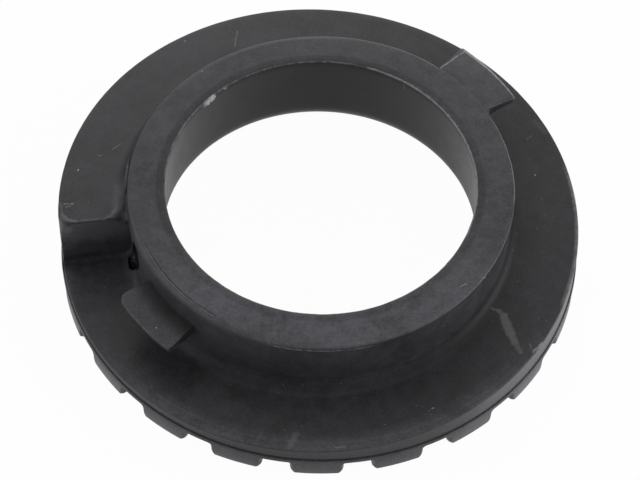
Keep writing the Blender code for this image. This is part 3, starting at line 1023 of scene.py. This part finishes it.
def findPlaces(tree):  # what the masks measure, in millimetres and radians
    m = moulding
    coordinates = makeNode(tree, "TexCoord").outputs
    scaled = makeNode(tree, "VectorMath", {0: coordinates["Object"], "Scale": 1 / mm}, operation="SCALE")
    place = scaled.outputs[0]
    axes = makeNode(tree, "SeparateXYZ", {0: place}).outputs
    x, y, z = axes[0], axes[1], axes[2]
    radius = doMath(tree, "SQRT", doMath(tree, "ADD", product(tree, x, x), product(tree, y, y)))
    azimuth = doMath(tree, "ARCTAN2", y, x)
    past = doMath(tree, "SUBTRACT", azimuth, math.radians(m["stepAzimuth"] - 360))
    turns = doMath(tree, "DIVIDE", past, math.tau)
    turn = doMath(tree, "FRACT", doMath(tree, "ADD", turns, 1.0))
    shelf = doMath(tree, "MULTIPLY_ADD", turn, m["shelfRise"], m["shelfLow"])
    above = doMath(tree, "SUBTRACT", z, shelf)
    stretched = doMath(tree, "MULTIPLY", turn, rubber["spunStretch"])
    spun = makeNode(tree, "CombineXYZ", {0: radius, 1: above, 2: stretched}).outputs[0]
    wobble = rubber["wobble"]
    return {
        "place": place,
        "spun": spun,  # noise that is read here runs in long rings
        "radius": radius,
        "azimuth": azimuth,
        "sine": doMath(tree, "SINE", azimuth),
        "cosine": doMath(tree, "COSINE", azimuth),
        "height": z,
        "turn": turn,  # 0 at the step's foot and 1 at its top
        "above": above,
        "facing": makeNode(tree, "SeparateXYZ", {0: coordinates["Normal"]}).outputs[2],
        "wobble": doMath(tree, "MULTIPLY_ADD", grain(tree, place, "wobble"), wobble, -wobble / 2),
    }


def makeMasks(tree, where):  # for every region: 1 inside it, 0 outside, smooth between
    masks = {}
    for name, limits in regions.items():
        masks[name] = product(tree, *[fade(tree, where[what], ends, full) for what, ends, full in limits])
    return masks


def addShares(tree, masks, shares, total):
    for name, share in shares.items():
        total = doMath(tree, "MULTIPLY_ADD", masks[name], share, total)
    return total


def highestShare(tree, masks, shares):
    return highest(tree, shares, lambda name: doMath(tree, "MULTIPLY", masks[name], shares[name]))


def bloomAndLightShare(tree, where, masks, cloud):  # how much grey tone lies on the skin: bloom, painted light in some regions, and less where shade is painted
    r = rubber
    total = addShares(tree, masks, evenBloomAndLight, bloomEverywhere)
    bands = doMath(tree, "MULTIPLY_ADD", grain(tree, where["spun"], "bands"), *r["bandSwing"])
    banded = addShares(tree, masks, bandedSheen, 0.0)
    total = doMath(tree, "MULTIPLY_ADD", banded, bands, total)
    speckled = addShares(tree, masks, speckledBloomAndLight, 0.0)
    total = doMath(tree, "ADD", total, speckled)
    swing = doMath(tree, "MULTIPLY_ADD", cloud, r["cloudSwing"], -r["cloudSwing"] / 2)
    lively = doMath(tree, "MULTIPLY_ADD", total, *r["cloudShare"])
    share = doMath(tree, "MULTIPLY_ADD", swing, lively, total)
    specks = fade(tree, grain(tree, where["place"], "specks"), *r["specks"])
    speckle = doMath(tree, "MULTIPLY_ADD", speckled, *r["speckleShare"])
    share = doMath(tree, "MULTIPLY_ADD", specks, speckle, share, clamp=True)
    left = doMath(tree, "SUBTRACT", 1.0, highestShare(tree, masks, paintedShadeShares))
    return doMath(tree, "MULTIPLY", share, left)


def makeRubber():
    r = rubber
    paint = bpy.data.materials.new("mouldedRubber")
    paint.use_nodes = True
    tree = paint.node_tree
    shader = tree.nodes["Principled BSDF"]
    where = findPlaces(tree)
    masks = makeMasks(tree, where)
    place = where["place"]
    noises = {name: grain(tree, place, name) for name in clouds}
    middle, fine = noises["middle"], noises["fine"]
    cloud = 0.0
    for name, (low, high, share) in clouds.items():
        cloud = doMath(tree, "MULTIPLY_ADD", fade(tree, noises[name], low, high), share, cloud)
    colour = tint(tree, bloomAndLightShare(tree, where, masks, cloud), r["skin"], r["bloomAndLight"])
    sparse = makeNode(tree, "TexVoronoi", {"Vector": place, "Scale": r["dotScale"]}).outputs["Distance"]
    dots = fade(tree, sparse, *r["dots"])
    gaps = fade(tree, grain(tree, place, "gaps"), *r["gaps"])
    lines = highest(tree, flashAndHighlightLines, lambda line: lineMask(tree, line, where, gaps))
    dark = highest(tree, darkLines, lambda line: lineMask(tree, line, where))
    dark = doMath(tree, "MAXIMUM", dark, highestShare(tree, masks, hollowShade))
    shaking = {"Vector": place, "Scale": r["shakeScale"], "Detail": r["shakeDetail"]}
    shaken = doVector(tree, "SUBTRACT", makeNode(tree, "TexNoise", shaking).outputs[1], (0.5, 0.5, 0.5))
    shaken = doVector(tree, "MULTIPLY_ADD", shaken, (r["shake"], r["shake"], r["shake"]), place)
    marks = highest(tree, scuffsAndHighlights, lambda streak: streakMask(tree, streak, shaken))
    marks = product(tree, marks, fade(tree, fine, *r["streakGaps"]))
    wearAndHighlights = doMath(tree, "MAXIMUM", lines, dots)
    colour = tint(tree, wearAndHighlights, colour, r["wornAndHighlit"])
    colour = tint(tree, marks, colour, r["scuffAndHighlightTone"])
    colour = tint(tree, dark, colour, r["darkest"])
    tree.links.new(colour, shader.inputs["Base Color"])
    rough = doMath(tree, "MULTIPLY_ADD", middle, r["roughMiddle"], r["roughness"] - r["roughMiddle"] / 2)
    rough = doMath(tree, "MULTIPLY_ADD", fine, r["roughFine"], rough)
    wornAndHighlit = doMath(tree, "MAXIMUM", wearAndHighlights, marks)
    rough = doMath(tree, "MULTIPLY_ADD", wornAndHighlit, r["roughWorn"], rough, clamp=True)
    tree.links.new(rough, shader.inputs["Roughness"])
    gloss = doMath(tree, "MULTIPLY_ADD", masks["bore"], -r["boreDull"], r["specular"])
    gloss = doMath(tree, "MULTIPLY_ADD", highestShare(tree, masks, dulled), -r["creaseDull"], gloss)
    tree.links.new(doMath(tree, "MAXIMUM", gloss, r["leastSpecular"]), shader.inputs["Specular IOR Level"])
    height = doMath(tree, "MULTIPLY", fine, r["bumpFine"])
    height = doMath(tree, "MULTIPLY_ADD", grain(tree, place, "skin"), r["bumpSkin"], height)
    height = doMath(tree, "MULTIPLY_ADD", grain(tree, where["spun"], "rings"), r["bumpRings"], height)
    bumps = {"Strength": r["bumpStrength"], "Distance": r["bumpHeight"], "Height": height}
    tree.links.new(makeNode(tree, "Bump", bumps).outputs[0], shader.inputs["Normal"])
    return paint


spacer = drawSection()
print("section drawn:", len(spacer.data.vertices), "points")
spinMoulding(spacer)
print("moulding spun:", len(spacer.data.polygons), "faces")
combine(spacer, [makeLip(lip) for lip in lips] + [makeBlob(rag) for rag in rags], "UNION")
print("lips and rags of flash joined")
combine(spacer, [makeNotchCutters()] + [makeBlob(hollow) for hollow in hollows], "DIFFERENCE")
spacer = keepLargest(spacer)
print("notches and hollows cut:", len(spacer.data.polygons), "faces")
spacer.data.materials.clear()
spacer.data.materials.append(makeRubber())
deselectAll()
spacer.select_set(True)
bpy.context.view_layer.objects.active = spacer
bpy.ops.object.shade_smooth_by_angle(angle=math.radians(32))
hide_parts("spring_spacer")
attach(spacer, "root")
setStudio()
setCamera()
print("studio and camera set")
